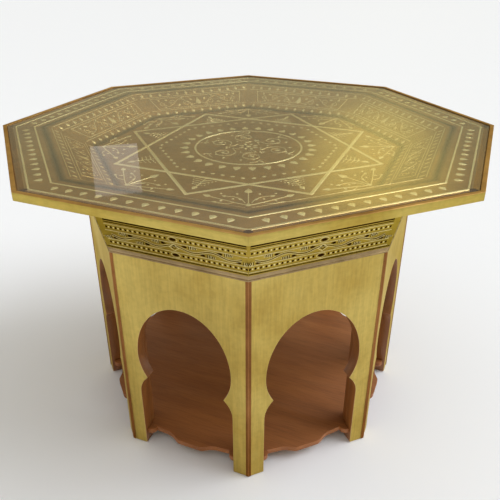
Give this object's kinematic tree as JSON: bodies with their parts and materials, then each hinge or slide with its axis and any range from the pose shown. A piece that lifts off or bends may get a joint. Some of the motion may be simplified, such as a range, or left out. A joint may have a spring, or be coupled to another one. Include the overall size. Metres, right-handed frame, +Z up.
{
  "type": "octagonal tray table",
  "caption": "Octagonal side table: an arched brass-clad stand with a flared frieze carries a lift-off sunken tray top under a loose glass plate.",
  "frame": {"origin": "on the floor at the centre of the stand", "axes": "+Z up along the axis of the octagon; the middles of four sides face +X, +Y, -X and -Y"},
  "size_m": [0.7206, 0.7206, 0.482],
  "materials": {
    "panel_brass": "satin",
    "rim_brass": "satin",
    "tray_brass": "polished",
    "copper_trim": "satin",
    "walnut": "satin",
    "softwood": "raw",
    "screw_steel": "satin",
    "felt": "matte",
    "clear_rubber": "satin",
    "clear_glass": "polished"
  },
  "bodies": {
    "stand": {"arch_panel_1": "walnut", "arch_panel_2": "walnut", "arch_panel_3": "walnut", "arch_panel_4": "walnut", "arch_panel_5": "walnut", "arch_panel_6": "walnut", "arch_panel_7": "walnut", "arch_panel_8": "walnut", "panel_sheet_1": "panel_brass", "panel_sheet_2": "panel_brass", "panel_sheet_3": "panel_brass", "panel_sheet_4": "panel_brass", "panel_sheet_5": "panel_brass", "panel_sheet_6": "panel_brass", "panel_sheet_7": "panel_brass", "panel_sheet_8": "panel_brass", "corner_strip_1": "copper_trim", "corner_strip_2": "copper_trim", "corner_strip_3": "copper_trim", "corner_strip_4": "copper_trim", "corner_strip_5": "copper_trim", "corner_strip_6": "copper_trim", "corner_strip_7": "copper_trim", "corner_strip_8": "copper_trim", "frieze_board_1": "softwood", "frieze_board_2": "softwood", "frieze_board_3": "softwood", "frieze_board_4": "softwood", "frieze_board_5": "softwood", "frieze_board_6": "softwood", "frieze_board_7": "softwood", "frieze_board_8": "softwood", "frieze_sheet": "panel_brass", "waist_band": "copper_trim", "shelf": "walnut", "shelf_blocks": "softwood", "corner_posts": "softwood", "shelf_screws": "screw_steel", "felt_pads": "felt", "support_ring": "softwood", "cornice": "walnut"},
    "tray_top": {"rim_1": "rim_brass", "rim_2": "rim_brass", "rim_3": "rim_brass", "rim_4": "rim_brass", "rim_5": "rim_brass", "rim_6": "rim_brass", "rim_7": "rim_brass", "rim_8": "rim_brass", "rim_splines": "softwood", "rim_cap": "copper_trim", "top_board": "softwood", "tray_sheet": "tray_brass", "dish_backing": "softwood", "glass_bumpers": "clear_rubber"},
    "glass": {"glass_plate": "clear_glass"}
  },
  "joints": [
    {"name": "tray_lift", "type": "slide", "parent": "stand", "child": "tray_top", "axis": [0, 0, 1], "range_m": [0, 0.12]},
    {"name": "glass_lift", "type": "slide", "parent": "tray_top", "child": "glass", "axis": [0, 0, 1], "range_m": [0, 0.1]}
  ]
}
